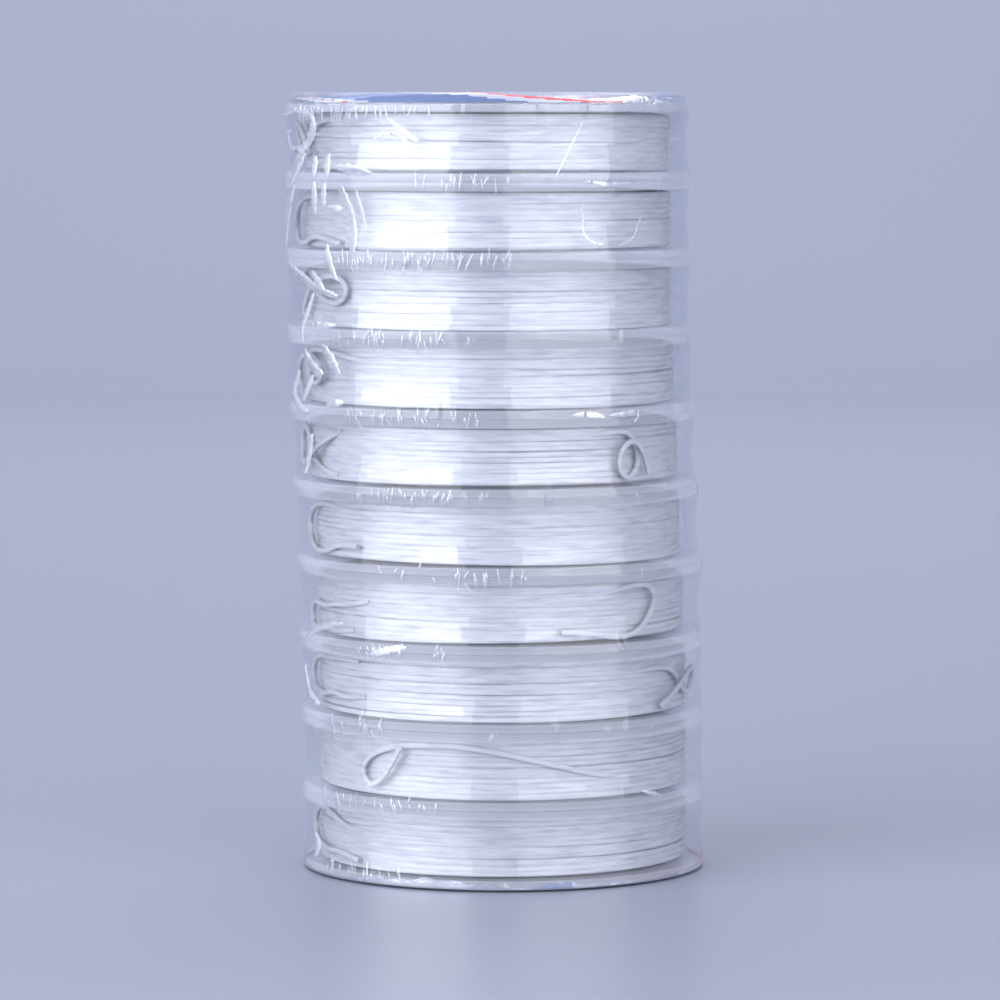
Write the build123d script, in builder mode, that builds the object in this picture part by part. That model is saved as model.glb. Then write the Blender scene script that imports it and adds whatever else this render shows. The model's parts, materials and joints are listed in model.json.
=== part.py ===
"""A shrink-wrapped stack of clear spools of fishing line.

Ten two-piece spools stand on each other, each wound with one line whose outer end hangs
loose over the winding. A foil label is glued to each end of the stack, and one clear film
holds everything. All sizes are in millimetres. The origin is at the middle of the base,
+Z runs up the stack, and -Y is the front.
"""

import os
from math import cos, pi, radians, sin, tan, tanh

from build123d import *

# Stack
SPOOL_COUNT = 10
SPOOL_GAP = 0.05  # between the faces of two neighbouring spools
LEAN = 1.2  # how far the end spools stand off the middle line, sideways
LEAN_SPREAD = 2.0  # how many spools the sideways slip is spread over

# Spool
FLANGE_RADIUS = 29.4
FLANGE_THICKNESS = 1.2
FLANGE_ROUNDING = 0.3
BORE_RADIUS = 5.0
SLEEVE_WALL = 1.2
SPIGOT_WALL = 1.0
SPIGOT_CLEARANCE = 0.05  # all round, between the spigot and the sleeve
SPIGOT_RELIEF = 0.4  # between the spigot's end and the upper flange

# Line
LINE_DIAMETER = 0.8
WINDING_WIDTH = 8.75  # between the flanges
WINDING_DEPTH = 4.4  # from the sleeve out to the winding's surface
RIM_MARGIN = 2.5  # from the winding's surface out to the flange's rim
WINDING_SIDE_CLEARANCE = 0.05
# How much fuller or emptier each spool is wound, from the top spool down
WINDING_FILL = (-0.2, 0.0, -0.1, 0.1, 0.2, 0.0, 0.1, 0.2, 0.1, 0.2)

# Labels and film
LABEL_THICKNESS = 0.12
LABEL_CLEARANCE = 0.1  # between a label and the film's lip
FILM_THICKNESS = 0.15
FILM_CLEARANCE = 0.2  # between a flange and the film
LIP_WIDTH = 7.4  # how far the film reaches in over each end, from the flange's rim
FILM_CORNER = 0.5  # rounding where the film turns over the ends

# The loose stretches of line. A point is (angle, height, lift): degrees from the front
# towards +X, millimetres above the middle of the spool's width, and millimetres from the
# winding's surface out to the line's centre. Each stretch starts sunk in the winding.
SUNK = -0.3
LOW = 0.45
HIGH = 1.4
TAILS = {
    1: [(-52, 3.2, SUNK), (-60, 3.3, LOW), (-68, 2.0, 0.8), (-74, -0.4, LOW), (-80.5, -1.7, LOW),
        (-86, -0.9, 0.6), (-88, 0.8, 0.9), (-85.5, 2.4, 1.2), (-79, 2.9, HIGH), (-72, 1.0, HIGH),
        (-68, -2.0, 0.9)],
    2: [(-66, 3.6, SUNK), (-74, 3.3, LOW), (-82, 2.2, 0.9), (-86, -0.4, 1.2), (-84, -3.2, 1.0),
        (-76, -3.7, 0.6), (-67, -2.4, LOW), (-59, -2.6, LOW), (-50, -3.4, LOW)],
    3: [(-86, 3.6, SUNK), (-80, 2.6, LOW), (-71, 1.6, 0.6), (-63, 0.0, LOW), (-55, -0.9, LOW),
        (-50, -0.4, LOW), (-47.5, 1.2, 0.6), (-49.5, 2.8, 0.9), (-55, 3.3, 1.2), (-63, 2.2, HIGH),
        (-70, 0.0, HIGH), (-75, -2.8, 0.9)],
    4: [(-44, 2.2, SUNK), (-51, 3.0, LOW), (-60, 3.5, 0.5), (-68, 3.6, LOW), (-73, 2.9, LOW),
        (-75.5, 1.2, LOW), (-73.5, -0.6, LOW), (-68.5, -1.4, 0.5), (-63, -1.1, 0.7),
        (-60, 0.4, 1.0), (-62, 2.1, HIGH), (-68, 3.0, HIGH), (-76, 2.2, HIGH), (-82.5, 0.3, 1.1),
        (-84, -2.0, 0.9), (-80, -3.6, 0.6)],
    5: [(33, 3.0, SUNK), (38, 3.5, LOW), (45, 3.4, LOW), (48.5, 1.0, 0.5), (49, -2.0, LOW),
        (44.5, -3.7, LOW), (40, -1.9, 0.7), (40.5, 1.0, 1.1), (45, 2.4, HIGH), (50, 0.2, HIGH),
        (53, -2.9, 0.9)],
    6: [(-58, 3.0, SUNK), (-66, 3.6, LOW), (-76, 3.1, 0.6), (-82, 0.9, 0.9), (-79, -1.8, 0.9),
        (-74, -3.6, 0.6), (-64, -3.3, LOW), (-56, -1.9, LOW), (-47, -2.2, LOW)],
    7: [(36, 2.6, SUNK), (43, 3.6, LOW), (51, 3.6, 0.6), (53.5, 1.2, 0.8), (50, -1.4, 0.7),
        (45, -3.4, LOW), (37, -3.8, LOW), (28, -2.9, LOW), (18, -2.6, LOW)],
    8: [(47, 2.2, SUNK), (55, 2.6, LOW), (64, 1.9, LOW), (70, -0.8, LOW), (76, -2.2, 0.5),
        (81.5, -2.0, 0.6), (84, -0.3, 0.8), (81.5, 1.3, 1.1), (76, 1.7, HIGH), (68, 0.4, HIGH),
        (61, -1.4, HIGH), (54, -3.2, 0.9)],
    9: [(40, -1.6, SUNK), (28, -0.8, LOW), (14, 0.9, LOW), (-1, 2.6, 0.5), (-14, 3.5, LOW),
        (-25, 3.4, LOW), (-33, 3.2, LOW), (-40.5, 2.2, LOW), (-45.2, 1.0, 0.5), (-47.4, -0.6, 0.5),
        (-46.4, -2.2, 0.6), (-43, -2.9, 0.8), (-38.8, -1.9, 1.0), (-34.8, 0.3, HIGH),
        (-31.5, 3.0, HIGH)],
    10: [(-52, 1.0, SUNK), (-60, 2.2, LOW), (-68, 3.5, LOW), (-75, 3.7, LOW), (-80.5, 2.8, 0.6),
         (-82.5, 1.0, 0.8), (-80, -0.8, 0.8), (-75, -1.9, 0.6), (-67, -2.4, LOW), (-58, -2.2, LOW),
         (-49, -3.0, LOW)],
}
SLACK_LOOPS = {
    5: [(-56, -3.2, SUNK), (-64, -2.8, LOW), (-73, -0.6, 0.5), (-77, 2.3, LOW), (-83, 3.6, 0.6),
        (-89, 1.8, 0.9), (-87, -1.2, 0.9), (-78, -2.4, 1.1), (-68, -0.2, HIGH), (-60, 2.2, LOW),
        (-54, 3.2, SUNK)],
    7: [(-45, 1.2, SUNK), (-52, 0.5, LOW), (-60, 0.4, LOW), (-69, -0.3, LOW), (-76, 0.1, 0.5),
        (-80.5, -0.1, 0.7), (-82.8, -1.9, 0.8), (-80.5, -3.7, 0.8), (-75, -3.8, 0.6),
        (-68, -3.3, LOW), (-60, -3.7, LOW), (-52, -3.2, SUNK)],
    8: [(-50, 3.4, SUNK), (-58, 3.8, LOW), (-66, 3.4, LOW), (-76, 3.6, 0.6), (-82, 1.6, 0.9),
        (-80, -1.0, 0.9), (-72, -2.2, 0.6), (-63, -1.3, LOW), (-55, -2.0, LOW),
        (-47, -1.5, SUNK)],
}

WINDING_RADIUS = FLANGE_RADIUS - RIM_MARGIN
HUB_RADIUS = WINDING_RADIUS - WINDING_DEPTH  # outside of the sleeve
SPOOL_WIDTH = WINDING_WIDTH + 2 * FLANGE_THICKNESS
PITCH = SPOOL_WIDTH + SPOOL_GAP
STACK_BASE = FILM_THICKNESS + LABEL_CLEARANCE + LABEL_THICKNESS
STACK_TOP = STACK_BASE + SPOOL_COUNT * PITCH - SPOOL_GAP
FILM_TOP = STACK_TOP + LABEL_THICKNESS + LABEL_CLEARANCE + FILM_THICKNESS


def spool_x(number):
    """How far a spool stands to the side. Spool 1 is the top one."""
    return LEAN * tanh((number - (SPOOL_COUNT + 1) / 2) / LEAN_SPREAD)


def spool_base(number):
    """The height of a spool's lower face."""
    return STACK_BASE + (SPOOL_COUNT - number) * PITCH


def spool_plane(number, height=0.0):
    """A level plane on a spool's own axis, that far above its lower face."""
    return Plane(origin=(spool_x(number), 0, spool_base(number) + height))


def winding_radius(number):
    return WINDING_RADIUS + WINDING_FILL[(number - 1) % len(WINDING_FILL)]


def finish(builder, name):
    """Label one piece and write its file."""
    builder.part.label = name
    export_step(builder.part, f"parts/{name}.step")


def make_upper_half(number):
    """The upper flange with the sleeve that the line is wound on."""
    sleeve_top = spool_plane(number, SPOOL_WIDTH - FLANGE_THICKNESS)
    with BuildPart() as half:
        with BuildSketch(sleeve_top):
            Circle(FLANGE_RADIUS)
        extrude(amount=FLANGE_THICKNESS)
        fillet(half.edges().filter_by(GeomType.CIRCLE), FLANGE_ROUNDING)
        with BuildSketch(sleeve_top):
            Circle(HUB_RADIUS)
            Circle(HUB_RADIUS - SLEEVE_WALL, mode=Mode.SUBTRACT)
        extrude(amount=-WINDING_WIDTH)
        with BuildSketch(sleeve_top):
            Circle(BORE_RADIUS)
        extrude(amount=FLANGE_THICKNESS, mode=Mode.SUBTRACT)
    finish(half, f"spool_{number:02d}_upper_half")


def make_lower_half(number):
    """The lower flange with the spigot that the sleeve is pressed over."""
    spigot_radius = HUB_RADIUS - SLEEVE_WALL - SPIGOT_CLEARANCE
    with BuildPart() as half:
        with BuildSketch(spool_plane(number)):
            Circle(FLANGE_RADIUS)
        extrude(amount=FLANGE_THICKNESS)
        fillet(half.edges().filter_by(GeomType.CIRCLE), FLANGE_ROUNDING)
        with BuildSketch(spool_plane(number, FLANGE_THICKNESS)):
            Circle(spigot_radius)
            Circle(spigot_radius - SPIGOT_WALL, mode=Mode.SUBTRACT)
        extrude(amount=WINDING_WIDTH - SPIGOT_RELIEF)
        with BuildSketch(spool_plane(number)):
            Circle(BORE_RADIUS)
        extrude(amount=FLANGE_THICKNESS, mode=Mode.SUBTRACT)
    finish(half, f"spool_{number:02d}_lower_half")


def make_winding(number):
    """The outer shape of the wound line, a ring that fills the space between the flanges."""
    with BuildPart() as winding:
        with BuildSketch(spool_plane(number, FLANGE_THICKNESS + WINDING_SIDE_CLEARANCE)):
            Circle(winding_radius(number))
            Circle(HUB_RADIUS, mode=Mode.SUBTRACT)
        extrude(amount=WINDING_WIDTH - 2 * WINDING_SIDE_CLEARANCE)
    finish(winding, f"spool_{number:02d}_winding")


def route_points(number, route):
    """The points of a loose stretch, from its (angle, height, lift) points."""
    middle = spool_base(number) + SPOOL_WIDTH / 2
    points = []
    for angle, height, lift in route:
        out = winding_radius(number) + lift
        x = spool_x(number) + out * sin(radians(angle))
        y = -out * cos(radians(angle))
        points.append(Vector(x, y, middle + height))
    return points


def corner_radii(points):
    """The largest arc that each corner's two runs leave room for."""
    radii = []
    for before, corner, after in zip(points, points[1:], points[2:]):
        turn = (corner - before).get_angle(after - corner)
        shorter = min((corner - before).length, (after - corner).length)
        radii.append(0.45 * shorter / tan(radians(turn / 2)))
    return radii


def make_loose_line(name, number, route):
    """A loose stretch of line, as straight runs joined by arcs."""
    points = route_points(number, route)
    radii = corner_radii(points)
    with BuildPart() as stretch:
        with BuildLine() as path:
            FilletPolyline(*points, radius=radii)
        with BuildSketch(Plane(origin=path.line @ 0, z_dir=path.line % 0)):
            Circle(LINE_DIAMETER / 2)
        sweep()
    length = sum(edge.length for edge in path.line.edges())
    print(
        f"{name}: {length:.1f} mm long, volume {stretch.part.volume:.2f} of"
        f" {pi * LINE_DIAMETER**2 / 4 * length:.2f} mm3, radii {[round(r, 1) for r in radii]}"
    )
    finish(stretch, name)


def make_label(name, number, height):
    """A foil disc glued to one end face of the stack."""
    with BuildPart() as label:
        with BuildSketch(spool_plane(number, height)):
            Circle(FLANGE_RADIUS)
        extrude(amount=LABEL_THICKNESS)
    finish(label, name)


def film_rings():
    """(sideways place, height, radius) of the film's inside at every rim, from the base up."""
    rings = []
    for step in range(SPOOL_COUNT + 1):
        below, above = SPOOL_COUNT - step + 1, SPOOL_COUNT - step
        places = [spool_x(number) for number in (below, above) if 1 <= number <= SPOOL_COUNT]
        slip = abs(places[0] - places[-1])
        height = STACK_BASE + step * PITCH - SPOOL_GAP / 2
        rings.append([sum(places) / len(places), height, FLANGE_RADIUS + FILM_CLEARANCE + slip / 2])
    rings[0][1] = FILM_THICKNESS
    rings[-1][1] = FILM_TOP - FILM_THICKNESS
    return rings


def end_edges(builder):
    """The lowest and the highest ring of edges."""
    groups = builder.edges().group_by(Axis.Z)
    return groups[0] + groups[-1]


def make_film():
    """The clear film: a tube that follows the leaning stack and turns over both ends."""
    rings = film_rings()
    with BuildPart() as space:
        for x, height, radius in rings:
            with BuildSketch(Plane(origin=(x, 0, height))):
                Circle(radius)
        loft(ruled=True)
        fillet(end_edges(space), FILM_CORNER - FILM_THICKNESS)
    outer_heights = [0, *[height for _, height, _ in rings[1:-1]], FILM_TOP]
    with BuildPart() as film:
        for (x, _, radius), height in zip(rings, outer_heights):
            with BuildSketch(Plane(origin=(x, 0, height))):
                Circle(radius + FILM_THICKNESS)
        loft(ruled=True)
        fillet(end_edges(film), FILM_CORNER)
        add(space.part, mode=Mode.SUBTRACT)
        for x, height, direction in ((rings[0][0], 0, 1), (rings[-1][0], FILM_TOP, -1)):
            with BuildSketch(Plane(origin=(x, 0, height))):
                Circle(FLANGE_RADIUS - LIP_WIDTH)
            extrude(amount=direction * FILM_THICKNESS, mode=Mode.SUBTRACT)
    finish(film, "film_wrap")


os.makedirs("parts", exist_ok=True)
for number in range(1, SPOOL_COUNT + 1):
    make_upper_half(number)
    make_lower_half(number)
    make_winding(number)
for number, route in TAILS.items():
    if number <= SPOOL_COUNT:
        make_loose_line(f"spool_{number:02d}_tail", number, route)
for number, route in SLACK_LOOPS.items():
    if number <= SPOOL_COUNT:
        make_loose_line(f"spool_{number:02d}_slack_loop", number, route)
make_label("top_label", 1, SPOOL_WIDTH)
make_label("bottom_label", SPOOL_COUNT, -LABEL_THICKNESS)
make_film()
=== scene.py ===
"""Looks of a shrink-wrapped stack of clear spools of fishing line, in metres.

Angles round the stack are in degrees from the front (-Y), positive towards +X.
"""

import json
import math

import bpy
import numpy as np
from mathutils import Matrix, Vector

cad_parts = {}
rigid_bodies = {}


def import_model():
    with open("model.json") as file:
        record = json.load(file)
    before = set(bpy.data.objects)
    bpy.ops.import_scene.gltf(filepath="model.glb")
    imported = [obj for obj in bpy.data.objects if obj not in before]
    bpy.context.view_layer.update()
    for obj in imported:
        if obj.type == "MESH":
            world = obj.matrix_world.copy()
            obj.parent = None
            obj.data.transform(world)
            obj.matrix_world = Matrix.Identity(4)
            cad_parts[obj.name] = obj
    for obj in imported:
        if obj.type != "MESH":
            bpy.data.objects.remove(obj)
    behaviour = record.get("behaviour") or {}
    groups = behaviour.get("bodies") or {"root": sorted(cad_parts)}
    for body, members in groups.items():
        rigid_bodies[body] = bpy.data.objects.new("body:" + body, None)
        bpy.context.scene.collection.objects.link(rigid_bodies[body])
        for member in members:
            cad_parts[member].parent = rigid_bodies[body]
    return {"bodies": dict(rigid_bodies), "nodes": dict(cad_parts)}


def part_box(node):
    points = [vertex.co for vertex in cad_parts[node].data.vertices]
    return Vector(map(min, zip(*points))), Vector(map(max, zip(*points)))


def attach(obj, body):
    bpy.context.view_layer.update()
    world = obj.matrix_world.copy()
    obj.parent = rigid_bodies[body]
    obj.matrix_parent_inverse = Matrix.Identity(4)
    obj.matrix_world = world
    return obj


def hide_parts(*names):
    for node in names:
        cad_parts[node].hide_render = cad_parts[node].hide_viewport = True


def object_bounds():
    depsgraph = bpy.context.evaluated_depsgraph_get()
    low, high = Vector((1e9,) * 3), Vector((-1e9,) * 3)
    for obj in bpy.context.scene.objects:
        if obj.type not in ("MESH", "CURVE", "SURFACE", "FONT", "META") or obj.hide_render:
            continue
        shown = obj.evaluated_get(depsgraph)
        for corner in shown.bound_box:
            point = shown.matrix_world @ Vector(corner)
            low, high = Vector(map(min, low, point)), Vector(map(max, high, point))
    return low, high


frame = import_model()
cad_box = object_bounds()

MM = 0.001
SEED = 7
SPOOL_BODIES = sorted(name for name in frame["bodies"] if name.startswith("spool_"))
TOP_SPOOL, BOTTOM_SPOOL = SPOOL_BODIES[0], SPOOL_BODIES[-1]
STACK_HEIGHT = cad_box[1].z


# ---------------------------------------------------------------- places from the frame


def places(body):
    """A spool's own places: its axis, its heights and its radii."""
    upper, lower, wound = (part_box(f"{body}_{part}") for part in ("upper_half", "lower_half", "winding"))
    return {
        "x": (wound[0].x + wound[1].x) / 2,
        "base": lower[0].z,
        "top": upper[1].z,
        "middle": (wound[0].z + wound[1].z) / 2,
        "flange": (upper[1].x - upper[0].x) / 2,
        "surface": (wound[1].x - wound[0].x) / 2,
        "width": wound[1].z - wound[0].z,
    }


SPOOLS = {body: places(body) for body in SPOOL_BODIES}
FLANGE_RADIUS = SPOOLS[TOP_SPOOL]["flange"]
FLANGE_THICKNESS = (SPOOLS[TOP_SPOOL]["top"] - SPOOLS[TOP_SPOOL]["base"] - SPOOLS[TOP_SPOOL]["width"]) / 2
RACK_TOP, RACK_BASE = SPOOLS[TOP_SPOOL]["top"], SPOOLS[BOTTOM_SPOOL]["base"]
PITCH = SPOOLS[SPOOL_BODIES[0]]["top"] - SPOOLS[SPOOL_BODIES[1]]["top"]


def around(spool, angle, height, out):
    """A point at that angle, height over the spool's middle and distance from its axis."""
    a = math.radians(angle)
    return Vector((spool["x"] + out * math.sin(a), -out * math.cos(a), spool["middle"] + height))


# ---------------------------------------------------------------- camera, lights and floor

VIEW_DISTANCE = 0.769  # from the stack's axis, level with its top
VIEW_DROP = 4.34  # degrees below level
VIEW_SIDE = 0.66 * MM
LENS = 188.2


def make_camera():
    data = bpy.data.cameras.new("camera")
    data.lens = LENS
    data.sensor_width = 36
    data.clip_start, data.clip_end = 0.05, 20
    camera = bpy.data.objects.new("camera", data)
    bpy.context.collection.objects.link(camera)
    camera.location = (VIEW_SIDE, -VIEW_DISTANCE, RACK_TOP)
    camera.rotation_euler = (math.radians(90 - VIEW_DROP), 0, 0)
    bpy.context.scene.camera = camera


def softbox(name, place, aim, size, power):
    """A rectangular lamp at (azimuth, distance, height), aimed at (y, z) in the middle plane."""
    data = bpy.data.lights.new(name, "AREA")
    data.shape = "RECTANGLE"
    data.size, data.size_y = size
    data.energy = power
    data.color = (0.96, 0.975, 1.0)
    lamp = bpy.data.objects.new(name, data)
    bpy.context.collection.objects.link(lamp)
    lamp.visible_camera = False
    a, distance = math.radians(place[0]), place[1]
    lamp.location = (distance * math.sin(a), -distance * math.cos(a), place[2])
    lamp.rotation_euler = (Vector((0, *aim)) - lamp.location).to_track_quat("-Z", "Y").to_euler()


def make_lights():
    """Two large softboxes, a low one under each that the upright film mirrors, and two from behind."""
    middle = STACK_HEIGHT / 2
    softbox("left_softbox", (-50, 0.62, 0.40), (0.0, middle), (0.78, 0.62), 5.9)
    softbox("right_softbox", (42, 0.66, 0.38), (0.0, middle), (0.86, 0.60), 3.2)
    softbox("left_skirt", (-50, 0.62, 0.066), (0.0, 0.066), (0.78, 0.13), 0.62)
    softbox("right_skirt", (42, 0.66, 0.066), (0.0, 0.066), (0.86, 0.13), 0.5)
    softbox("top_softbox", (170, 0.45, 0.85), (0.0, middle), (0.9, 0.9), 3.0)
    softbox("backdrop_light", (180, 0.95, 1.2), (1.5, 0.15), (1.8, 0.5), 22.0)
    world = bpy.data.worlds.new("room")
    bpy.context.scene.world = world
    world.use_nodes = True
    background = world.node_tree.nodes["Background"]
    background.inputs["Color"].default_value = (0.68, 0.71, 0.90, 1)
    background.inputs["Strength"].default_value = 0.72


def make_floor():
    """A pale table that curves up into a backdrop."""
    reach, bend, rise = 1.2, 0.5, 2.2
    outline = [(-2.2, 0.0)]
    for step in range(13):
        turn = math.radians(90 * step / 12)
        outline.append((reach + bend * math.sin(turn), bend - bend * math.cos(turn)))
    outline.append((reach + bend, rise))
    verts = [(x, y, z) for y, z in outline for x in (-3.0, 3.0)]
    faces = [(2 * i, 2 * i + 1, 2 * i + 3, 2 * i + 2) for i in range(len(outline) - 1)]
    mesh = bpy.data.meshes.new("table")
    mesh.from_pydata(verts, [], faces)
    mesh.polygons.foreach_set("use_smooth", [True] * len(faces))
    table = bpy.data.objects.new("table", mesh)
    bpy.context.collection.objects.link(table)
    shade = new_material("table", (0.25, 0.262, 0.33), 0.32)
    shade.inputs["Specular IOR Level"].default_value = 0.35
    table.data.materials.append(bpy.data.materials["table"])


# ---------------------------------------------------------------- materials


def new_material(name, colour, roughness):
    """A Principled material. Returns its shader node."""
    material = bpy.data.materials.new(name)
    material.use_nodes = True
    shade = material.node_tree.nodes["Principled BSDF"]
    shade.inputs["Base Color"].default_value = (*colour, 1)
    shade.inputs["Roughness"].default_value = roughness
    return shade


def add_node(tree, kind, **values):
    """A new node. Values are set on its sockets, or on itself where it has no such socket."""
    node = tree.nodes.new(kind)
    for key, value in values.items():
        if key in node.inputs:
            node.inputs[key].default_value = value
        else:
            setattr(node, key, value)
    return node


def noise(tree, scale, stretch=(1, 1, 1), detail=3.0):
    """A noise texture in object coordinates, stretched along the axes."""
    coordinates = add_node(tree, "ShaderNodeTexCoord")
    mapping = add_node(tree, "ShaderNodeMapping", Scale=stretch)
    texture = add_node(tree, "ShaderNodeTexNoise", Scale=scale, Detail=detail)
    tree.links.new(coordinates.outputs["Object"], mapping.inputs["Vector"])
    tree.links.new(mapping.outputs["Vector"], texture.inputs["Vector"])
    return texture


def ramp(tree, source, stops):
    """A colour ramp over a texture, with (place, colour) stops."""
    node = add_node(tree, "ShaderNodeValToRGB")
    elements = node.color_ramp.elements
    while len(elements) < len(stops):
        elements.new(0.5)
    for element, (place, colour) in zip(elements, stops):
        element.position = place
        element.color = (*colour, 1)
    tree.links.new(source.outputs["Fac"], node.inputs["Fac"])
    return node


def bump(tree, source, strength, distance):
    """A bump node driven by a texture."""
    node = add_node(tree, "ShaderNodeBump", Strength=strength, Distance=distance)
    tree.links.new(source.outputs["Fac"], node.inputs["Height"])
    return node


def smooth_normal(tree, share):
    """Each strand's own normal, turned part of the way to the whole winding's.

    It stands for the light that clear strands pass on to each other, which evens them out.
    """
    surface = add_node(tree, "ShaderNodeNewGeometry")
    level = add_node(tree, "ShaderNodeMapping", Scale=(1, 1, 0))
    outward = add_node(tree, "ShaderNodeVectorMath", operation="NORMALIZE")
    both = add_node(tree, "ShaderNodeMix", data_type="VECTOR")
    both.inputs["Factor"].default_value = share
    tree.links.new(surface.outputs["Position"], level.inputs["Vector"])
    tree.links.new(level.outputs["Vector"], outward.inputs[0])
    tree.links.new(surface.outputs["Normal"], both.inputs["A"])
    tree.links.new(outward.outputs["Vector"], both.inputs["B"])
    return both


LINE_TINTS = [(0.3, (0.72, 0.74, 0.82)), (0.5, (0.89, 0.90, 0.95)), (0.7, (1.0, 1.0, 1.0))]
LINE_SMOOTHING = 0.9  # how far a strand's normal turns to the winding's


def line_material():
    """Clear extruded line, which looks white and silky where it lies in layers."""
    shade = new_material("clear_line", (0.76, 0.78, 0.87), 0.4)
    tree = shade.id_data
    shade.inputs["Metallic"].default_value = 0.32
    shade.inputs["Alpha"].default_value = 0.66
    streaks = noise(tree, 240, (1, 1, 9), 3)
    tint = ramp(tree, streaks, LINE_TINTS)
    tree.links.new(tint.outputs["Color"], shade.inputs["Base Color"])
    fine = bump(tree, noise(tree, 900, (1, 1, 6), 2), 0.25, 0.05 * MM)
    tree.links.new(smooth_normal(tree, LINE_SMOOTHING).outputs["Result"], fine.inputs["Normal"])
    tree.links.new(fine.outputs["Normal"], shade.inputs["Normal"])
    return bpy.data.materials["clear_line"]


def plastic_material():
    """Clear moulded polystyrene."""
    shade = new_material("clear_plastic", (0.95, 0.965, 1.0), 0.03)
    tree = shade.id_data
    shade.inputs["IOR"].default_value = 1.56
    shade.inputs["Transmission Weight"].default_value = 1.0
    shade.inputs["Alpha"].default_value = 0.5
    flow = bump(tree, noise(tree, 120, (1, 1, 3), 2), 0.12, 0.1 * MM)
    tree.links.new(flow.outputs["Normal"], shade.inputs["Normal"])
    return bpy.data.materials["clear_plastic"]


def film_material(name, haze_share, mirror, roughness):
    """Thin clear film: mostly see-through, with sharp reflections and a faint haze.

    mirror is the share it reflects where it is seen square on.
    """
    material = bpy.data.materials.new(name)
    material.use_nodes = True
    tree = material.node_tree
    tree.nodes.remove(tree.nodes["Principled BSDF"])
    output = tree.nodes["Material Output"]
    clear = add_node(tree, "ShaderNodeBsdfTransparent", Color=(0.95, 0.965, 0.99, 1))
    gloss = add_node(tree, "ShaderNodeBsdfGlossy", Color=(1, 1, 1, 1), Roughness=roughness)
    haze = add_node(tree, "ShaderNodeBsdfDiffuse", Color=(0.86, 0.88, 0.97, 1))
    fresnel = add_node(tree, "ShaderNodeFresnel", IOR=1.5)
    milky = add_node(tree, "ShaderNodeMixShader", Fac=haze_share)
    shiny = add_node(tree, "ShaderNodeMixShader")
    ripple = bump(tree, noise(tree, 110, (1, 1, 0.8), 4), 0.3, 0.3 * MM)
    tree.links.new(ripple.outputs["Normal"], gloss.inputs["Normal"])
    tree.links.new(ripple.outputs["Normal"], fresnel.inputs["Normal"])
    tree.links.new(clear.outputs["BSDF"], milky.inputs[1])
    tree.links.new(haze.outputs["BSDF"], milky.inputs[2])
    shares = [(0.0, 0), (0.04, mirror), (0.35, mirror + 0.2), (1.0, mirror + 0.26)]
    share = ramp(tree, fresnel, [(place, (value,) * 3) for place, value in shares])
    tree.links.new(share.outputs["Color"], shiny.inputs["Fac"])
    tree.links.new(milky.outputs["Shader"], shiny.inputs[1])
    tree.links.new(gloss.outputs["BSDF"], shiny.inputs[2])
    tree.links.new(shiny.outputs["Shader"], output.inputs["Surface"])
    return material


def foil_material(colour):
    """Thin crumpled foil, bare or printed in one colour."""
    name = f"foil_{colour}"
    bare = colour == "silver"
    shade = new_material(name, FOIL_COLOURS[colour], 0.2 if bare else 0.3)
    tree = shade.id_data
    shade.inputs["Metallic"].default_value = 1.0 if bare else 0.35
    creases = bump(tree, noise(tree, 420 if bare else 260, (1, 1, 1), 5), 0.9 if bare else 0.5, 0.4 * MM)
    tree.links.new(creases.outputs["Normal"], shade.inputs["Normal"])
    return bpy.data.materials[name]


# ---------------------------------------------------------------- the line

LINE = 0.8 * MM
ROUNDING = 1.04  # gives the line's eight-sided section the width of a round one
TURN_POINTS = 12  # spline points in each turn
TURN_STEP = 1.7 * MM  # from turn to turn in the hidden layers, so the whole length is what the space holds
HUB_GAP = 0.45 * MM  # from the sleeve to the first layer's centre
WINDING_DEPTH = 4.4 * MM  # from the sleeve to the surface
LAYER_STEP = 0.75 * MM  # from the first layer to the second
HIDDEN_LAYERS = 3  # over the first one, up to the depth below
HIDDEN_TOP = 1.75 * MM
# The layers that show: depth of the line's centre, step from turn to turn, how far it wanders.
# The last one is sparse and its turns cross the others.
OUTER_LAYERS = [
    (1.05 * MM, 0.78 * MM, 0.06 * MM), (0.78 * MM, 0.78 * MM, 0.08 * MM), (0.58 * MM, 0.78 * MM, 0.10 * MM),
    (0.46 * MM, 0.78 * MM, 0.11 * MM),
]
LAST_LAYER = (0.40 * MM, 3.0 * MM, 0.3 * MM)

# How far a loose stretch's centre stands off the winding's surface, in mm: its start in the
# winding, where it lies on it, and where it passes over itself
SUNK = -0.3
LOW = 0.45
HIGH = 1.4
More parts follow.
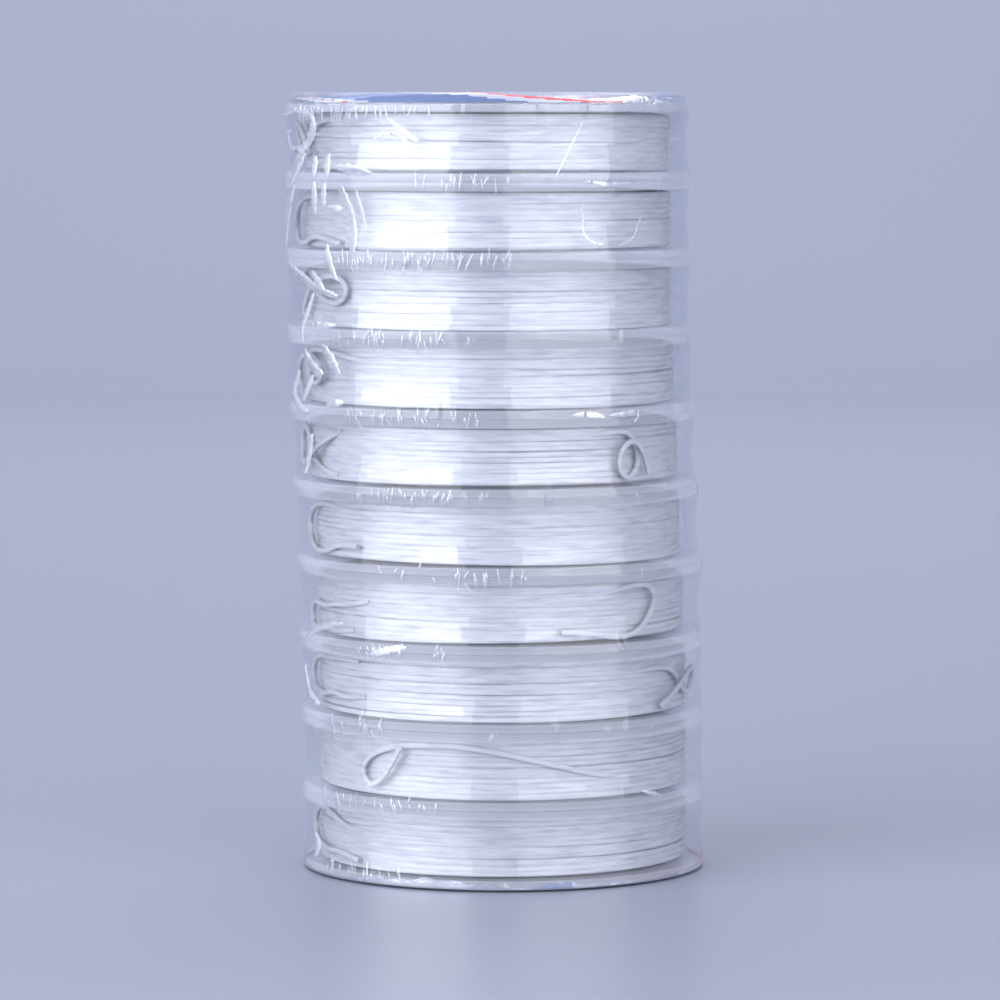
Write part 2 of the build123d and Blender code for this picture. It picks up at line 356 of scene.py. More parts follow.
# Loose stretches as (angle, height over the spool's middle in mm, lift in mm)
TAILS = {
    1: [(-52, 3.2, SUNK), (-60, 3.3, LOW), (-68, 2.0, 0.8), (-74, -0.4, LOW), (-80.5, -1.7, LOW),
        (-86, -0.9, 0.6), (-88, 0.8, 0.9), (-85.5, 2.4, 1.2), (-79, 2.9, HIGH), (-72, 1.0, HIGH),
        (-68, -2.0, 0.9)],
    2: [(-66, 3.6, SUNK), (-74, 3.3, LOW), (-82, 2.2, 0.9), (-86, -0.4, 1.2), (-84, -3.2, 1.0),
        (-76, -3.7, 0.6), (-67, -2.4, LOW), (-59, -2.6, LOW), (-50, -3.4, LOW)],
    3: [(-86, 3.6, SUNK), (-80, 2.6, LOW), (-71, 1.6, 0.6), (-63, 0.0, LOW), (-55, -0.9, LOW),
        (-50, -0.4, LOW), (-47.5, 1.2, 0.6), (-49.5, 2.8, 0.9), (-55, 3.3, 1.2), (-63, 2.2, HIGH),
        (-70, 0.0, HIGH), (-75, -2.8, 0.9)],
    4: [(-44, 2.2, SUNK), (-51, 3.0, LOW), (-60, 3.5, 0.5), (-68, 3.6, LOW), (-73, 2.9, LOW),
        (-75.5, 1.2, LOW), (-73.5, -0.6, LOW), (-68.5, -1.4, 0.5), (-63, -1.1, 0.7),
        (-60, 0.4, 1.0), (-62, 2.1, HIGH), (-68, 3.0, HIGH), (-76, 2.2, HIGH), (-82.5, 0.3, 1.1),
        (-84, -2.0, 0.9), (-80, -3.6, 0.6)],
    5: [(33, 3.0, SUNK), (38, 3.5, LOW), (45, 3.4, LOW), (48.5, 1.0, 0.5), (49, -2.0, LOW),
        (44.5, -3.7, LOW), (40, -1.9, 0.7), (40.5, 1.0, 1.1), (45, 2.4, HIGH), (50, 0.2, HIGH),
        (53, -2.9, 0.9)],
    6: [(-58, 3.0, SUNK), (-66, 3.6, LOW), (-76, 3.1, 0.6), (-82, 0.9, 0.9), (-79, -1.8, 0.9),
        (-74, -3.6, 0.6), (-64, -3.3, LOW), (-56, -1.9, LOW), (-47, -2.2, LOW)],
    7: [(36, 2.6, SUNK), (43, 3.6, LOW), (51, 3.6, 0.6), (53.5, 1.2, 0.8), (50, -1.4, 0.7),
        (45, -3.4, LOW), (37, -3.8, LOW), (28, -2.9, LOW), (18, -2.6, LOW)],
    8: [(47, 2.2, SUNK), (55, 2.6, LOW), (64, 1.9, LOW), (70, -0.8, LOW), (76, -2.2, 0.5),
        (81.5, -2.0, 0.6), (84, -0.3, 0.8), (81.5, 1.3, 1.1), (76, 1.7, HIGH), (68, 0.4, HIGH),
        (61, -1.4, HIGH), (54, -3.2, 0.9)],
    9: [(40, -1.6, SUNK), (28, -0.8, LOW), (14, 0.9, LOW), (-1, 2.6, 0.5), (-14, 3.5, LOW),
        (-25, 3.4, LOW), (-33, 3.2, LOW), (-40.5, 2.2, LOW), (-45.2, 1.0, 0.5), (-47.4, -0.6, 0.5),
        (-46.4, -2.2, 0.6), (-43, -2.9, 0.8), (-38.8, -1.9, 1.0), (-34.8, 0.3, HIGH),
        (-31.5, 3.0, HIGH)],
    10: [(-52, 1.0, SUNK), (-60, 2.2, LOW), (-68, 3.5, LOW), (-75, 3.7, LOW), (-80.5, 2.8, 0.6),
         (-82.5, 1.0, 0.8), (-80, -0.8, 0.8), (-75, -1.9, 0.6), (-67, -2.4, LOW), (-58, -2.2, LOW),
         (-49, -3.0, LOW)],
}
SLACK_LOOPS = {
    5: [(-56, -3.2, SUNK), (-64, -2.8, LOW), (-73, -0.6, 0.5), (-77, 2.3, LOW), (-83, 3.6, 0.6),
        (-89, 1.8, 0.9), (-87, -1.2, 0.9), (-78, -2.4, 1.1), (-68, -0.2, HIGH), (-60, 2.2, LOW),
        (-54, 3.2, SUNK)],
    7: [(-45, 1.2, SUNK), (-52, 0.5, LOW), (-60, 0.4, LOW), (-69, -0.3, LOW), (-76, 0.1, 0.5),
        (-80.5, -0.1, 0.7), (-82.8, -1.9, 0.8), (-80.5, -3.7, 0.8), (-75, -3.8, 0.6),
        (-68, -3.3, LOW), (-60, -3.7, LOW), (-52, -3.2, SUNK)],
    8: [(-50, 3.4, SUNK), (-58, 3.8, LOW), (-66, 3.4, LOW), (-76, 3.6, 0.6), (-82, 1.6, 0.9),
        (-80, -1.0, 0.9), (-72, -2.2, 0.6), (-63, -1.3, LOW), (-55, -2.0, LOW),
        (-47, -1.5, SUNK)],
}


def route(spool, points):
    """The points of a loose stretch, from its (angle, height, lift) points in millimetres."""
    return [around(spool, a, height * MM, spool["surface"] + lift * MM) for a, height, lift in points]


def soft_noise(rng, count, reach):
    """A smooth random row of numbers, about 1 in size, that changes over reach places."""
    rough = rng.normal(size=count + 8 * reach)
    bell = np.exp(-0.5 * (np.arange(-3 * reach, 3 * reach + 1) / reach) ** 2)
    smooth = np.convolve(rough, bell / np.sqrt((bell**2).sum()), mode="same")
    return smooth[4 * reach : 4 * reach + count]


def wound_line(spool, tail, rng):
    """The line from the sleeve out: sparse hidden layers, dense outer layers, and its free end."""
    side = spool["width"] / 2 - LINE / 2
    way = 1 if tail[1][0] > tail[0][0] else -1
    first = WINDING_DEPTH - HUB_GAP
    inner = [first, *np.linspace(first - LAYER_STEP, HIDDEN_TOP, HIDDEN_LAYERS)]
    layers = []
    height = -side
    for depth, step, wander in [*((depth, TURN_STEP, 0.04 * MM) for depth in inner), *OUTER_LAYERS]:
        layers.append((2 * side / step, height, -height, spool["surface"] - depth, wander))
        height = -height
    depth, step, wander = LAST_LAYER
    end = tail[0][1] * MM
    layers.append((abs(end - height) / step + 1.2, height, end, spool["surface"] - depth, wander))
    turns = sum(layer[0] for layer in layers)
    count = int(turns * TURN_POINTS)
    up, out = soft_noise(rng, count, 3), soft_noise(rng, count, 3)
    starts = np.cumsum([0] + [layer[0] for layer in layers])
    swell = 1 / math.cos(math.pi / TURN_POINTS)  # the spline runs inside its points by this much
    points = []
    for i in range(count):
        turn = i / TURN_POINTS
        which = min(int(np.searchsorted(starts, turn, side="right")) - 1, len(layers) - 1)
        turns_here, low, high, radius, wander = layers[which]
        share = min((turn - starts[which]) / turns_here, 1)
        fade = min((count - i) / TURN_POINTS, 1)
        z = low + (high - low) * share + up[i] * wander * fade
        z = max(-side, min(side, z))
        angle = tail[0][0] - way * 360 * (count - i) / TURN_POINTS
        points.append(around(spool, angle, z, (radius + out[i] * wander * 0.3) * swell))
    return points + route(spool, tail)


def make_line(name, body, points, nodes):
    """One line as a smooth spline."""
    curve = bpy.data.curves.new(name, "CURVE")
    curve.dimensions = "3D"
    curve.resolution_u = 5
    curve.bevel_depth = LINE / 2 * ROUNDING
    curve.bevel_resolution = 2
    curve.use_fill_caps = True
    spline = curve.splines.new("NURBS")
    spline.points.add(len(points) - 1)
    for slot, point in zip(spline.points, points):
        slot.co = (*point, 1)
    spline.order_u = 3
    spline.use_endpoint_u = True
    line = bpy.data.objects.new(name, curve)
    bpy.context.collection.objects.link(line)
    line.data.materials.append(bpy.data.materials["clear_line"])
    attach(line, body)
    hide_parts(*nodes)
    middles = [points[0], *((a + b) / 2 for a, b in zip(points, points[1:])), points[-1]]
    length = sum(2 * (b - a).length for a, b in zip(middles, middles[1:])) / 3
    length += sum((b - a).length for a, b in zip(points, points[1:])) / 3


def make_lines():
    for number, body in enumerate(SPOOL_BODIES, 1):
        spool = SPOOLS[body]
        rng = np.random.default_rng(SEED + number)
        points = wound_line(spool, TAILS[number], rng)
        make_line(f"{body}_line", body, points, [f"{body}_winding", f"{body}_tail"])
        if number in SLACK_LOOPS:
            name = f"{body}_slack_loop"
            make_line(f"{name}_line", body, route(spool, SLACK_LOOPS[number]), [name])


# ---------------------------------------------------------------- foil labels

FOIL_COLOURS = {
    "silver": (0.66, 0.67, 0.73),
    "white": (0.60, 0.62, 0.71),
    "blue": (0.18, 0.24, 0.42),
    "red": (0.70, 0.09, 0.08),
}
FOIL_LIFT = 0.05 * MM  # from the flange to the foil
CRUMPLE = 0.12 * MM  # height of the fine creases all over the top foil
FOIL_SPOKES = 480
CREST = 1.4 * MM  # from the rim to the crest of the top foil's turned edge
CREST_FADE = 1.6 * MM  # from the crest to where the foil lies flat again
# (angle, height of the crest) round the top foil, and (angle, height) of the bottom foil's edge, in mm
CRESTS = [
    (-150, 0.9), (-120, 0.5), (-90, 0.15), (-80, 0.65), (-57, 0.75), (-44, 0.85), (-32, 1.1), (-15, 1.42),
    (-4, 1.35), (2, 1.1), (12, 0.9), (21, 0.75), (30, 0.5), (37, 0.7), (48, 1.05), (63, 0.75), (72, 0.3),
    (88, 0.4), (120, 0.9), (150, 0.5), (180, 0.6),
]
HEMS = [
    (-140, 0.5), (-90, 0.7), (-60, 0.5), (-44, 0.8), (-38, 1.5), (-10, 1.7), (-3, 0.9), (0, 0.4), (9, 0.5),
    (15, 1.3), (30, 0.5), (60, 0.8), (90, 0.5), (140, 0.9), (180, 0.6),
]
# The printed swirl: each colour starts at its angle, and turns by so many degrees per mm inwards
RIM_TWIST, FLAT_TWIST = 27, 3
TOP_SWIRL = [
    (-180, "silver"), (-150, "blue"), (-120, "white"), (-105, "red"), (-96, "silver"), (-52, "white"),
    (-40, "red"), (-38, "white"), (-30, "blue"), (16, "white"), (32, "red"), (46, "silver"), (112, "blue"),
    (140, "white"), (158, "red"), (168, "silver"),
]
BOTTOM_SWIRL = [
    (-180, "silver"), (-120, "blue"), (-85, "silver"), (8, "blue"), (19, "silver"), (60, "white"),
    (90, "red"), (110, "silver"),
]


def crumple(x, y, seed):
    """Creased heights from 0 to about 1 over a flat place, as crumpled foil has."""
    rng = np.random.default_rng(seed)
    total = np.zeros_like(x)
    weight = 0
    for wave in (12, 6, 3.5, 2.2, 1.4):
        size = wave**0.8
        for _ in range(3):
            turn, start = rng.uniform(0, 2 * math.pi, 2)
            along = (x * math.cos(turn) + y * math.sin(turn)) * math.pi / (wave * MM)
            total += size * np.abs(np.sin(along + start))
            weight += size
    return total / weight


def table_at(angles, table):
    """Values of a table of (angle, value) round the circle, at angles in radians."""
    return np.interp(np.degrees(angles), *zip(*table), period=360)


def top_foil_height(x, y):
    """How far the top foil stands over the flange. It has a crest just inside its rim."""
    inside = np.clip(FLANGE_RADIUS - np.hypot(x, y), 0, None)
    rise = np.sin(inside / CREST * math.pi / 2)
    shape = np.where(inside < CREST, rise, np.exp(-(((inside - CREST) / CREST_FADE) ** 2)))
    crest = table_at(np.arctan2(x, -y), CRESTS) * MM
    creases = crumple(x, y, 3)
    return FOIL_LIFT + CRUMPLE * creases + shape * crest * (0.72 + 0.5 * creases)


def foil_mesh(name, x, radii, height_of, swirl, hem=None):
    """A round sheet of rings and spokes about an axis at x, printed with a swirl."""
    angles = np.linspace(0, 2 * math.pi, FOIL_SPOKES, endpoint=False)
    rows = [(r, height_of(r * np.sin(angles), -r * np.cos(angles))) for r in radii]
    if hem is not None:
        rows += hem(angles, rows[-1][1])
    verts, faces, prints = [], [], []
    for r, z in rows:
        verts += list(zip(x + r * np.sin(angles), -r * np.cos(angles), z))
    for ring in range(len(rows) - 1):
        inside = (FLANGE_RADIUS - rows[ring][0]) / MM
        at_edge = RIM_TWIST * np.clip(inside, 0, CREST / MM)
        twist = np.broadcast_to(at_edge + FLAT_TWIST * np.clip(inside - CREST / MM, 0, None), angles.shape)
        for spoke in range(FOIL_SPOKES):
            after = (spoke + 1) % FOIL_SPOKES
            near, far = ring * FOIL_SPOKES, (ring + 1) * FOIL_SPOKES
            faces.append((near + spoke, far + spoke, far + after, near + after))
            place = (math.degrees(angles[spoke]) + twist[spoke] + 180) % 360 - 180
            prints.append([colour for start, colour in swirl if start <= place][-1])
    foil = mesh_object(name, verts, faces)
    for colour in FOIL_COLOURS:
        foil.data.materials.append(bpy.data.materials.get(f"foil_{colour}") or foil_material(colour))
    foil.data.polygons.foreach_set("material_index", [list(FOIL_COLOURS).index(colour) for colour in prints])
    return foil


def mesh_object(name, verts, faces):
    mesh = bpy.data.meshes.new(name)
    mesh.from_pydata([tuple(map(float, v)) for v in verts], [], faces)
    mesh.polygons.foreach_set("use_smooth", [True] * len(mesh.polygons))
    mesh.update()
    piece = bpy.data.objects.new(name, mesh)
    bpy.context.collection.objects.link(piece)
    return piece


def declare_foil(foil, body, node):
    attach(foil, body)
    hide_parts(node)


def foil_radii():
    """Rings of a foil, close together near its rim."""
    edge = FLANGE_RADIUS / MM
    return np.concatenate([np.linspace(0.4, edge - 4.2, 75), np.arange(edge - 4, edge + 0.01, 0.2)]) * MM


def make_top_label():
    x = SPOOLS[TOP_SPOOL]["x"]
    foil = foil_mesh("top_foil", x, foil_radii(), lambda x, y: RACK_TOP + top_foil_height(x, y), TOP_SWIRL)
    declare_foil(foil, TOP_SPOOL, "top_label")


def bottom_foil_height(x, y):
    return RACK_BASE - 0.11 * MM + 0.08 * MM * crumple(x, y, 5)


def bottom_hem(angles, edge):
    """The bottom foil's edge, bent up round the flange and crumpled."""
    ruffle = 0.75 + 0.25 * np.sin(31 * angles + 1) * np.sin(12 * angles)
    rise = table_at(angles, HEMS) * ruffle * MM
    wobble = 0.04 * MM * np.sin(37 * angles + 2) * np.sin(13 * angles)
    steps = ((0.06, 0.1), (0.09, 0.3), (0.11, 0.5), (0.12, 0.75), (0.12, 1.0))
    return [(FLANGE_RADIUS + out * MM + share * wobble, edge + share * rise) for out, share in steps]


def make_bottom_label():
    x = SPOOLS[BOTTOM_SPOOL]["x"]
    foil = foil_mesh("bottom_foil", x, foil_radii(), bottom_foil_height, BOTTOM_SWIRL, bottom_hem)
    declare_foil(foil, BOTTOM_SPOOL, "bottom_label")


# ---------------------------------------------------------------- film

FILM_GAP = 0.17 * MM  # between a rim and the film
DIP = 0.36 * MM  # how far the film pulls in between the two rims of a spool
LIP = 7.4 * MM  # how far it turns in over each end
FILM_OVER_FOIL = 0.12 * MM
FRONT_COLUMNS, BACK_COLUMNS = 280, 104
FRONT_REACH = 102  # degrees each side of the front that have the finer columns
# Its materials: (name, haze, mirror, roughness). A face says which one it has by its place here.
FILM_MATERIALS = [
    ("clear_film", 0.05, 0.055, 0.07), ("pleated_film", 0.42, 0.18, 0.2), ("creased_film", 0.16, 0.13, 0.12),
    ("lip_film", 0.02, 0.015, 0.25), ("rim_film", 0.18, 0.065, 0.1),
]
CLEAR_FACE, PLEAT_FACE, CREASE_FACE, LIP_FACE, RIM_FACE = range(5)
RIM_MARKS = 150  # short creases in the film itself, all round
BACK_FOLDS = 60  # longer folds on the side that the photo doesn't show

# Pleats pressed flat on the film: (width, [(angle, depth below the top), ...]) with lengths in mm
PLEATS = [
    (0.6, [(-87, 1.9), (-69, 1), (-59, 1.4), (-58, 3.5), (-61, 5.6), (-68, 6.7), (-78, 6.4), (-82, 4.5),
           (-74, 3.6)]),
    (1.4, [(-64, 6.7), (-69, 8.9), (-74, 11.8)]), (0.9, [(-70, 11.4), (-77, 14.8), (-87, 18.2), (-87, 21.5)]),
    (0.6, [(-58, 7.4), (-58, 10.6)]), (0.6, [(-52, 7), (-52, 10.7)]),
    (0.9, [(-50, 9.1), (-46, 9.1), (-41, 9.5), (-35, 10)]), (0.6, [(-58, 11), (-58, 13.9), (-59, 16)]),
    (0.6, [(-53, 11.3), (-54, 15)]), (0.6, [(-53, 14.7), (-45, 15.2)]),
    (1.4, [(-47, 11.4), (-44, 15.2), (-42, 21.7)]), (0.4, [(-41, 12), (-39, 15.5), (-38, 18.4)]),
    (0.6, [(-53, 19.7), (-51, 22.7), (-48, 25.7)]),
    (0.9, [(-79, 23.2), (-66, 24.9), (-59, 26.4), (-48, 27.7)]),
    (0.7, [(-60, 24), (-54, 26.8)]), (0.4, [(-59, 26.8), (-63, 30.1), (-66, 32.8), (-66, 35.1)]),
    (0.7, [(-66, 32), (-54, 31.9), (-48, 31.7)]), (1.0, [(-66, 35.1), (-63, 37.3), (-55, 39.2)]),
    (1.0, [(-56, 34.4), (-52, 36.1), (-48, 39.2)]), (0.7, [(-70, 38.4), (-77, 41.8), (-68, 44), (-62, 44.5)]),
    (0.6, [(-61, 39), (-67, 43.2)]), (0.7, [(-54, 43.2), (-46, 42.7)]),
    (0.6, [(-62, 47.4), (-66, 50.9), (-68, 53.9)]),
    (0.6, [(-72, 78.2), (-64, 76), (-49, 74.7)]), (0.7, [(-39, 78.9), (-31, 77.9), (-25, 77.4)]),
    (0.6, [(-31, 1.9), (-26, 3.9), (-21, 5.6)]),
    (0.4, [(-36, 5.2), (-32, 4.1), (-27, 4.3), (-24, 6), (-28, 7.3), (-33, 7.2)]),
    (0.4, [(25, 11.4), (28, 10.9), (33, 11.7), (43, 11.3)]), (0.2, [(26, 1.9), (22, 5.9), (16, 11.2)]),
    (0.25, [(25, 13.7), (26, 19.3), (33, 20.2)]), (0.25, [(48, 15.5), (44, 19.5), (37, 20.3)]),
    (0.6, [(21, 44.3), (28, 44.1), (33, 44.6)]), (0.6, [(33, 44.5), (46, 44.1), (42, 45.8)]),
    (0.7, [(-69, 106.2), (-64, 107.8), (-68, 110)]), (0.6, [(-78, 81.7), (-74, 85.6), (-62, 87.3)]),
    (0.4, [(44, 98.7), (52, 99.7)]),
]
# Rows of short creases at the rims: (rim from the top, first angle, last angle, how many)
CREASES = [
    (0, -68, -18, 40), (1, -24, 4, 14), (2, -48, 6, 44), (3, -50, -14, 34), (4, -46, -2, 34),
    (5, -44, -12, 28), (6, -38, 10, 18), (7, -44, -14, 18), (8, -58, -34, 18), (9, -62, -16, 30),
    (10, -60, -20, 16),
]


def rim_radius(body, angles):
    """How far from the stack's middle line a spool's rim lies at each angle."""
    x, r = SPOOLS[body]["x"], SPOOLS[body]["flange"]
    return x * np.sin(angles) + np.sqrt(r**2 - (x * np.cos(angles)) ** 2)


def film_columns():
    reach = math.radians(FRONT_REACH)
    front = np.linspace(-reach, reach, FRONT_COLUMNS, endpoint=False)
    back = np.linspace(reach, 2 * math.pi - reach, BACK_COLUMNS, endpoint=False)
    return np.concatenate([front, back])


def film_steps():
    """Depths below a spool's upper face where the film has a row, close together at the rims."""
    width = SPOOLS[TOP_SPOOL]["top"] - SPOOLS[TOP_SPOOL]["base"]
    rim = np.arange(7) * 0.25 * MM
    middle = np.linspace(rim[-1], width - rim[-1], 9)[1:-1]
    return np.concatenate([rim, middle, width - rim[:0:-1]])


def film_wall(angles):
    """Rows (radius, height) of the film's side, from the top down."""
    rng = np.random.default_rng(SEED)
    rows = []
    for place, body in enumerate(SPOOL_BODIES):
        spool, own = SPOOLS[body], rim_radius(body, angles)
        above = rim_radius(SPOOL_BODIES[max(place - 1, 0)], angles)
        below = rim_radius(SPOOL_BODIES[min(place + 1, len(SPOOL_BODIES) - 1)], angles)
        start, turn = rng.uniform(0, 6, 2)
        depth = DIP * (1 + 0.2 * np.sin(3 * angles + start) + 0.12 * np.sin(7 * angles + turn))
        gap = spool["width"]
        for step in film_steps():
            inside = np.clip((step - FLANGE_THICKNESS) / gap, 0, 1)
            sag = depth * math.sin(math.pi * inside) ** 1.6
            near_top = max(0, 1 - step / FLANGE_THICKNESS)
            near_base = max(0, 1 - (2 * FLANGE_THICKNESS + gap - step) / FLANGE_THICKNESS)
            radius = own + near_top * np.maximum(above - own, 0) + near_base * np.maximum(below - own, 0)
            rows.append((radius + FILM_GAP - sag, np.full_like(angles, spool["top"] - step)))
    return rows


def ridge(across, down, x0, z0, x1, z1, width, height):
    """The height of a straight fold at each place of the unrolled film."""
    dx, dz = x1 - x0, z1 - z0
    share = np.clip(((across - x0) * dx + (down - z0) * dz) / (dx * dx + dz * dz), 0, 1)
    away = np.hypot(across - x0 - share * dx, down - z0 - share * dz)
    taper = 0.45 + 0.55 * np.sin(math.pi * (0.12 + 0.76 * share))
    return height * taper * np.exp(-((away / width) ** 2))


def film_wrinkles(angles, heights):
    """How far short creases stand out from the film's side, at each row and column."""
    rng = np.random.default_rng(SEED + 50)
    signed = np.degrees((angles + math.pi) % (2 * math.pi) - math.pi)
    to_mm = math.radians(1) * FLANGE_RADIUS / MM
    across = np.broadcast_to(signed * to_mm, heights.shape)
    down = (RACK_TOP - heights) / MM
    out = np.zeros_like(down)
    pitch = PITCH / MM
    folds = []
    rims = len(SPOOL_BODIES) + 1
    marks = [(rng.integers(0, rims), rng.uniform(-180, 180)) for _ in range(RIM_MARKS)]
    for rim, angle in marks:
        middle = rim * pitch + rng.normal(0, 0.5)
        long, lean = rng.uniform(0.5, 1.5), rng.normal(0, 0.5)
        start = angle * to_mm
        folds.append((
            start, middle - long, start + lean, middle + long,
            rng.uniform(0.22, 0.4), rng.uniform(0.1, 0.3),
        ))
    for _ in range(BACK_FOLDS):
        angle, depth = rng.uniform(95, 265), rng.uniform(3, 108)
        angle = (angle + 180) % 360 - 180
        turn, long = rng.uniform(0, math.pi), rng.uniform(2, 7)
        start = angle * to_mm
        folds.append((
            start, depth, start + long * math.cos(turn), depth + long * math.sin(turn),
            rng.uniform(0.4, 0.9), rng.uniform(0.2, 0.45),
        ))
    for x0, z0, x1, z1, width, height in folds:
        reach = 3 * width
        rows = (down[:, 0] > min(z0, z1) - reach) & (down[:, 0] < max(z0, z1) + reach)
        columns = (across[0] > min(x0, x1) - reach) & (across[0] < max(x0, x1) + reach)
        part = np.ix_(rows, columns)
        out[part] = np.maximum(out[part], ridge(across[part], down[part], x0, z0, x1, z1, width, height))
    return out * MM


def pleat_list(rng):
    """All pleats as (width, angles, depths, lean): the chosen ones and the short ones at the rims."""
    pleats = []
    for width, line in PLEATS:
        angles, depths = np.array(line, float).T
        middle = angles.mean()
        pleats.append((1.5 * width, angles, depths, math.copysign(25, middle) - middle))
    for rim, low, high, many in CREASES:
        for _ in range(many):
            angle, long = rng.uniform(low, high), rng.uniform(0.6, 1.6)
            depth = np.clip(rim * PITCH / MM + rng.normal(0, 0.5), long + 0.2, STACK_HEIGHT / MM - long - 1)
            spread = rng.normal(0, 0.5)
            lean = -25 - angle if angle < -42 else rng.choice([-30, 30])
            line = np.array([angle - spread, angle + spread]), np.array([depth - long, depth + long])
            pleats.append((rng.uniform(0.22, 0.42), *line, lean))
    return pleats


def pleat_strips(angles, rows):
    """Narrow strips that lie on the film's side where it is pleated: their corners and faces.

    Each strip is a row of teeth that lean by the same angle, so it catches one of the lamps.
    """
    rng = np.random.default_rng(SEED + 90)
    heights = np.array([z[0] for _, z in rows])[::-1]
    radii = np.array([r for r, _ in rows])[::-1]
    turn = np.argsort(angles % (2 * math.pi))
    sorted_angles = (angles % (2 * math.pi))[turn]
    verts, faces, kinds = [], [], []
    for number, (width, line_angles, line_depths, lean) in enumerate(pleat_list(rng)):
        across, down = np.radians(line_angles) * FLANGE_RADIUS, line_depths * MM
        along = np.concatenate([[0], np.cumsum(np.hypot(np.diff(across), np.diff(down)))])
        count = max(int(along[-1] / (0.35 * MM)), 6)
        at = np.linspace(0, along[-1], count)
        bell = np.ones(3 if count < 15 else 9)
        across, down = (
            np.convolve(np.pad(np.interp(at, along, v), len(bell) // 2, "edge"), bell / len(bell), "valid")
            for v in (across, down)
        )
        steps = np.gradient(across), np.gradient(down)
        size = np.hypot(*steps)
        side_x, side_z = steps[1] / size, -steps[0] / size
        flip = np.sign(lean) * np.where(side_x < 0, -1, 1)
        side_x, side_z = flip * side_x, flip * side_z
        ends = np.sin(np.linspace(0.3, math.pi - 0.3, count))
        half = width / 2 * MM * ends * rng.uniform(0.75, 1.25, count)
        teeth = max(1, round(width / 0.7))
        tooth = 2 * half / teeth
        high = np.minimum(tooth * math.tan(math.radians(min(abs(lean), 45))), 0.45 * MM)
        profile = []
        for place in range(teeth):
            start = -1 + 2 * place / teeth
            profile += [(start, 0.03), (start + 0.16 / teeth, 1.0)]
        profile.append((1, 0.03))
        first = len(verts)
        for share, rise in profile:
            px, pz = across + share * half * side_x, down + share * half * side_z
            angle, height = px / FLANGE_RADIUS, RACK_TOP - pz
            near = np.clip(np.searchsorted(heights, height), 0, len(heights) - 1)
            base = [
                np.interp(one % (2 * math.pi), sorted_angles, radii[row][turn], period=2 * math.pi)
                for one, row in zip(angle, near)
            ]
            out = np.array(base) + 0.06 * MM + rise * high * rng.uniform(0.85, 1.1, count)
            verts += list(zip(out * np.sin(angle), -out * np.cos(angle), height))
        for strip in range(len(profile) - 1):
            near, far = first + strip * count, first + (strip + 1) * count
            faces += [(near + i, near + i + 1, far + i + 1, far + i) for i in range(count - 1)]
            kinds += [PLEAT_FACE if number < len(PLEATS) else CREASE_FACE] * (count - 1)
    return verts, faces, kinds


def film_lip(angles, body, edge_radius, height_of, up):
    """Rows of the film where it turns over an end, from the rim inwards."""
    x = SPOOLS[body]["x"]
    steps = [0.0, 0.12, 0.35, 0.7, 1.2, 1.8, 2.5, 3.3, 4.2, 5.1, 6.0, 6.8]
    inner = 0.5 * np.sin(5 * angles + 1) + 0.25 * np.sin(13 * angles)
    rows = []
    for step in [*steps, LIP / MM]:
        radius = edge_radius - (step + inner * (step / LIP * MM) ** 2) * MM
        radius = np.where(step == 0, edge_radius, radius)
        px, py = radius * np.sin(angles) - x, -radius * np.cos(angles)
        rounding = 0.3 * MM * (1 - min(step / 0.35, 1)) ** 2
        rows.append((radius, height_of(px, py) - up * rounding))
    return rows


def film_over_foil(x, y):
    """Height of the film over the top flange. It bridges the foil's crests, which can turn under it."""
    angles = np.linspace(0, 2 * math.pi, 720, endpoint=False)
    radii = np.arange(18, FLANGE_RADIUS / MM + 0.05, 0.1) * MM
    highest = [top_foil_height(r * np.sin(angles), -r * np.cos(angles)).max() for r in radii]
    return np.interp(np.hypot(x, y), radii, highest) + FILM_OVER_FOIL


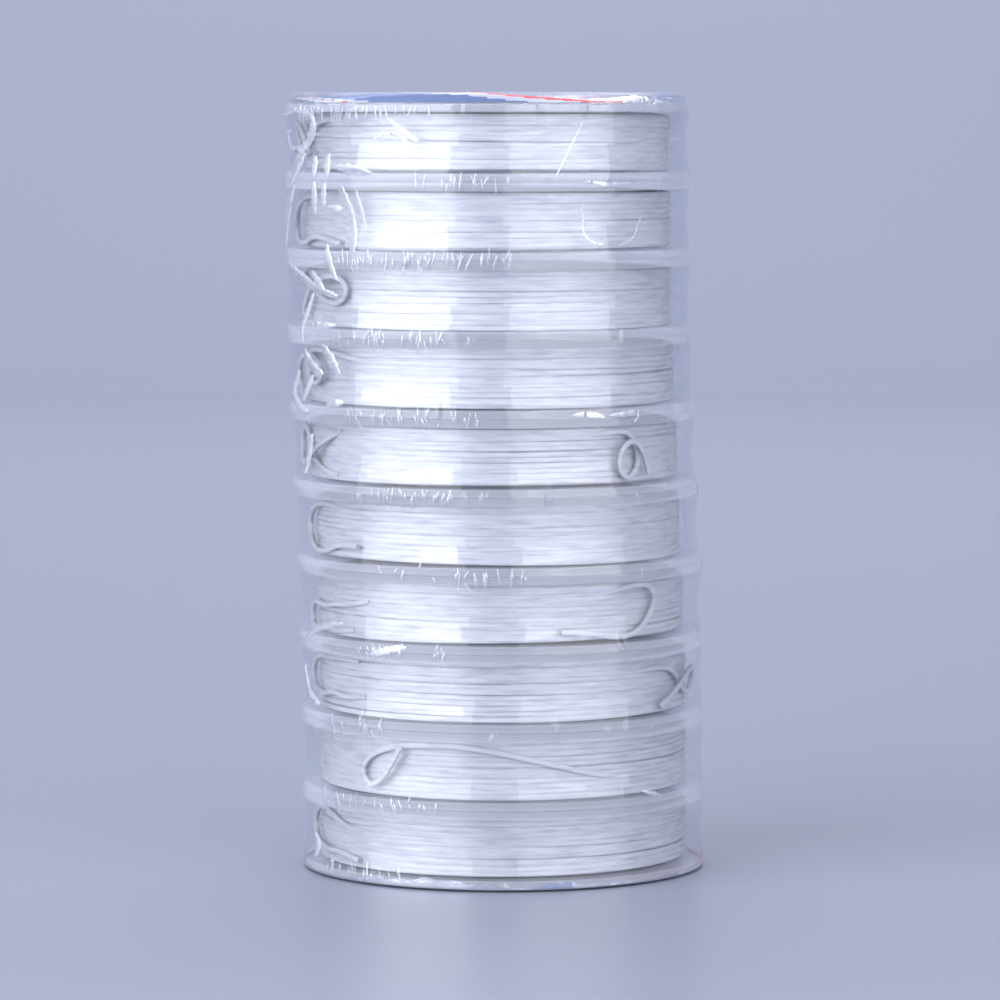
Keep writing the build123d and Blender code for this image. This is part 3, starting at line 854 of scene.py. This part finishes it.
def near_rim(height):
    """Whether the film at a height lies over a flange, or between two spools."""
    between = ((s["base"] + FLANGE_THICKNESS, s["top"] - FLANGE_THICKNESS) for s in SPOOLS.values())
    return not any(low < height < high for low, high in between)


def make_film():
    angles = film_columns()
    wall = film_wall(angles)
    top = film_lip(angles, TOP_SPOOL, wall[0][0], lambda x, y: RACK_TOP + film_over_foil(x, y), 1)
    base = film_lip(angles, BOTTOM_SPOOL, wall[-1][0], lambda x, y: np.full_like(x, 0.05 * MM), -1)
    heights = np.array([z for _, z in wall])
    radii = np.array([r for r, _ in wall]) + film_wrinkles(angles, heights)
    rows = [*top[::-1], *zip(radii, heights), *base]
    verts = []
    for r, z in rows:
        verts += list(zip(r * np.sin(angles), -r * np.cos(angles), z))
    count = len(angles)
    faces = []
    for row in range(len(rows) - 1):
        for column in range(count):
            after = (column + 1) % count
            upper, lower = row * count, (row + 1) * count
            faces.append((upper + column, lower + column, lower + after, upper + after))
    strips, strip_faces, kinds = pleat_strips(angles, list(zip(radii, heights)))
    faces += [tuple(len(verts) + corner for corner in face) for face in strip_faces]
    film = mesh_object("shrink_film", verts + strips, faces)
    for settings in FILM_MATERIALS:
        film.data.materials.append(film_material(*settings))
    over_rim = [RIM_FACE if near_rim(z) else CLEAR_FACE for z in (heights[:-1, 0] + heights[1:, 0]) / 2]
    row_kinds = [LIP_FACE] * (len(top) - 1) + [RIM_FACE, *over_rim, RIM_FACE] + [CLEAR_FACE] * (len(base) - 1)
    flags = [kind for kind in row_kinds for _ in range(count)] + kinds
    film.data.polygons.foreach_set("material_index", flags)
    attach(film, "film")
    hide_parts("film_wrap")


# ---------------------------------------------------------------- everything

make_camera()
line_material()
make_lines()
make_lights()
make_floor()
clear_plastic = plastic_material()
for name, node in frame["nodes"].items():
    if name.endswith("_half"):
        node.data.materials.clear()
        node.data.materials.append(clear_plastic)
make_top_label()
make_bottom_label()
make_film()

cycles = bpy.context.scene.cycles
cycles.max_bounces = 28
cycles.glossy_bounces = 20
cycles.transmission_bounces = 16
cycles.transparent_max_bounces = 40
bpy.context.scene.view_settings.view_transform = "Standard"
